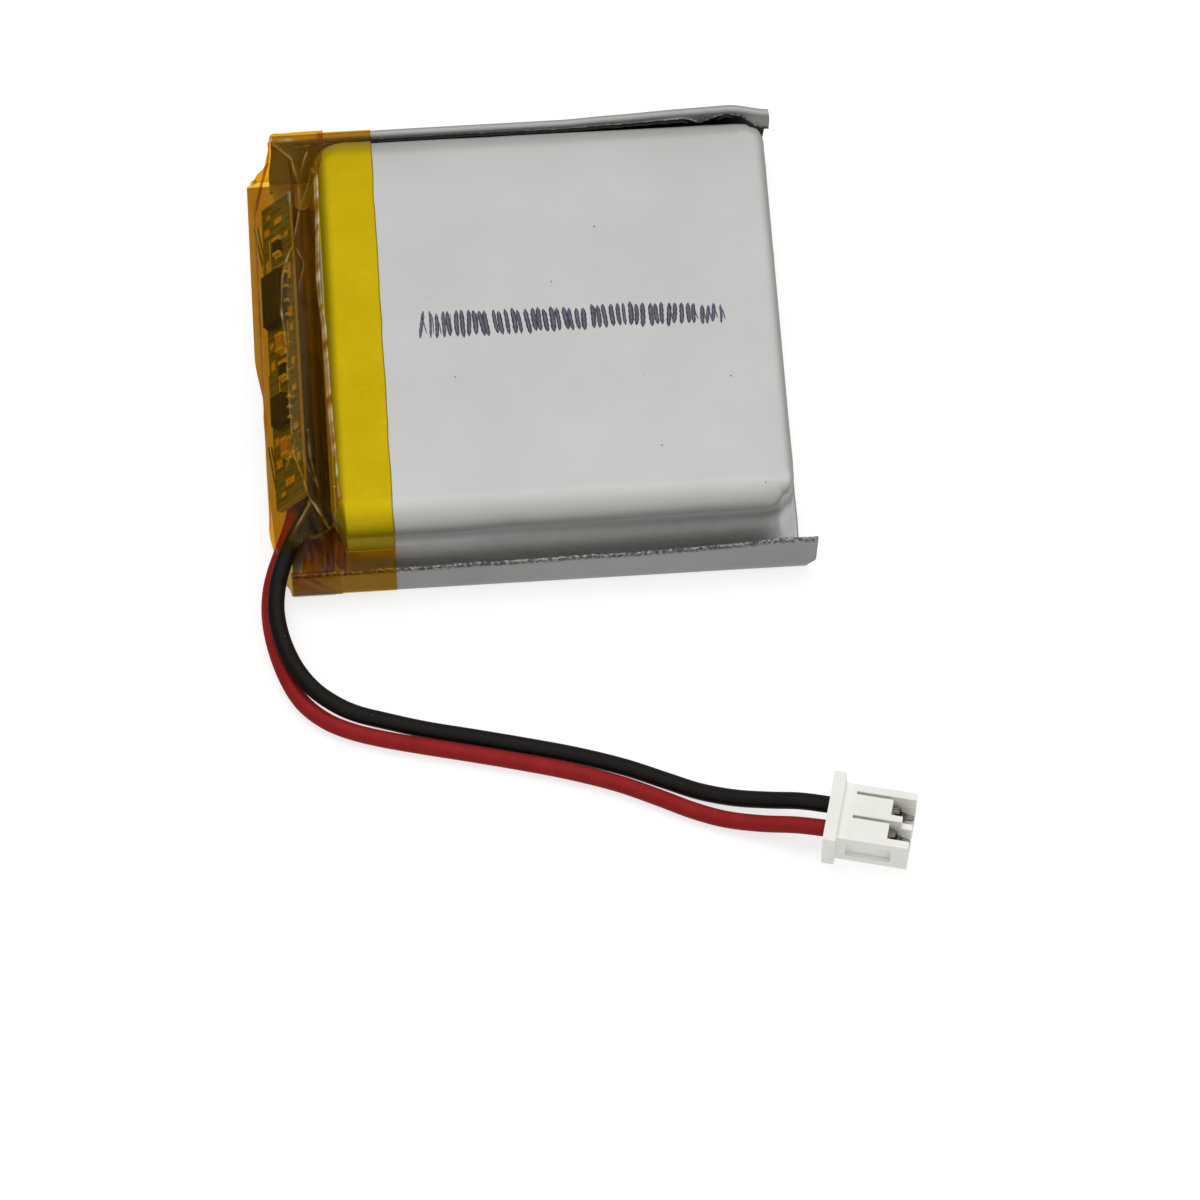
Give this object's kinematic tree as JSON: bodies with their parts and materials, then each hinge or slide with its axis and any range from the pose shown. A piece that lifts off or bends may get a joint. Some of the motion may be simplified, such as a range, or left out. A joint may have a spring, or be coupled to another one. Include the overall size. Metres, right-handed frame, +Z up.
{
  "type": "pouch battery cell",
  "caption": "Flat rechargeable pouch cell with folded side seals, an amber-taped protection board at its head, and a red and a black lead ending in a small white plug.",
  "frame": {"origin": "middle of the underside of the cell's bounding box, leads and plug left out", "axes": "+X along the cell from the taped head to the folded end, +Y across the cell away from the side where the leads come out, +Z up from the flat underside to the drawn cup's top"},
  "size_m": [0.0485, 0.0634, 0.009],
  "materials": {
    "laminate": "satin aluminium laminate",
    "amber_film": "clear amber polyimide film",
    "graphite_foil": "matt graphite coating on foil",
    "oxide_foil": "matt oxide coating on foil",
    "separator_film": "white porous film",
    "winding_tape": "green film tape",
    "tab_aluminium": "bare sheet",
    "nickel": "bare nickel strip",
    "sealing_resin": "milky sealing film",
    "insulating_paper": "matt insulating paper",
    "board_laminate": "green solder mask with gold pads",
    "chip_resin": "black moulded resin",
    "chip_ceramic": "fired ceramic with tinned ends",
    "solder": "bright solder",
    "copper_strand": "bare copper strands",
    "red_insulation": "soft satin insulation",
    "black_insulation": "soft satin insulation",
    "white_nylon": "moulded white nylon",
    "tinned_contact": "tinned pressed contact"
  },
  "bodies": {
    "root": {"pouch_cup": "laminate", "pouch_cover": "laminate", "head_seal": "laminate", "side_seal_front": "laminate", "side_seal_back": "laminate", "head_tape": "amber_film", "board_tape": "amber_film", "anode_sheet": "graphite_foil", "cathode_sheet": "oxide_foil", "inner_separator": "separator_film", "outer_separator": "separator_film", "winding_tape": "winding_tape", "positive_tab": "tab_aluminium", "negative_tab": "nickel", "positive_link": "nickel", "negative_link": "nickel", "positive_tab_sealant": "sealing_resin", "negative_tab_sealant": "sealing_resin", "insulating_strip": "insulating_paper", "protection_board": "board_laminate", "power_mosfet": "chip_resin", "protection_ic": "chip_resin", "filter_resistor": "chip_resin", "sense_resistor": "chip_resin", "filter_capacitor": "chip_ceramic", "bypass_capacitor": "chip_ceramic", "positive_solder_joint": "solder", "negative_solder_joint": "solder", "red_conductor_end": "copper_strand", "black_conductor_end": "copper_strand", "red_lead_jacket": "red_insulation", "black_lead_jacket": "black_insulation", "plug_housing": "white_nylon", "plug_terminal_positive": "tinned_contact", "plug_terminal_negative": "tinned_contact"}
  },
  "joints": []
}
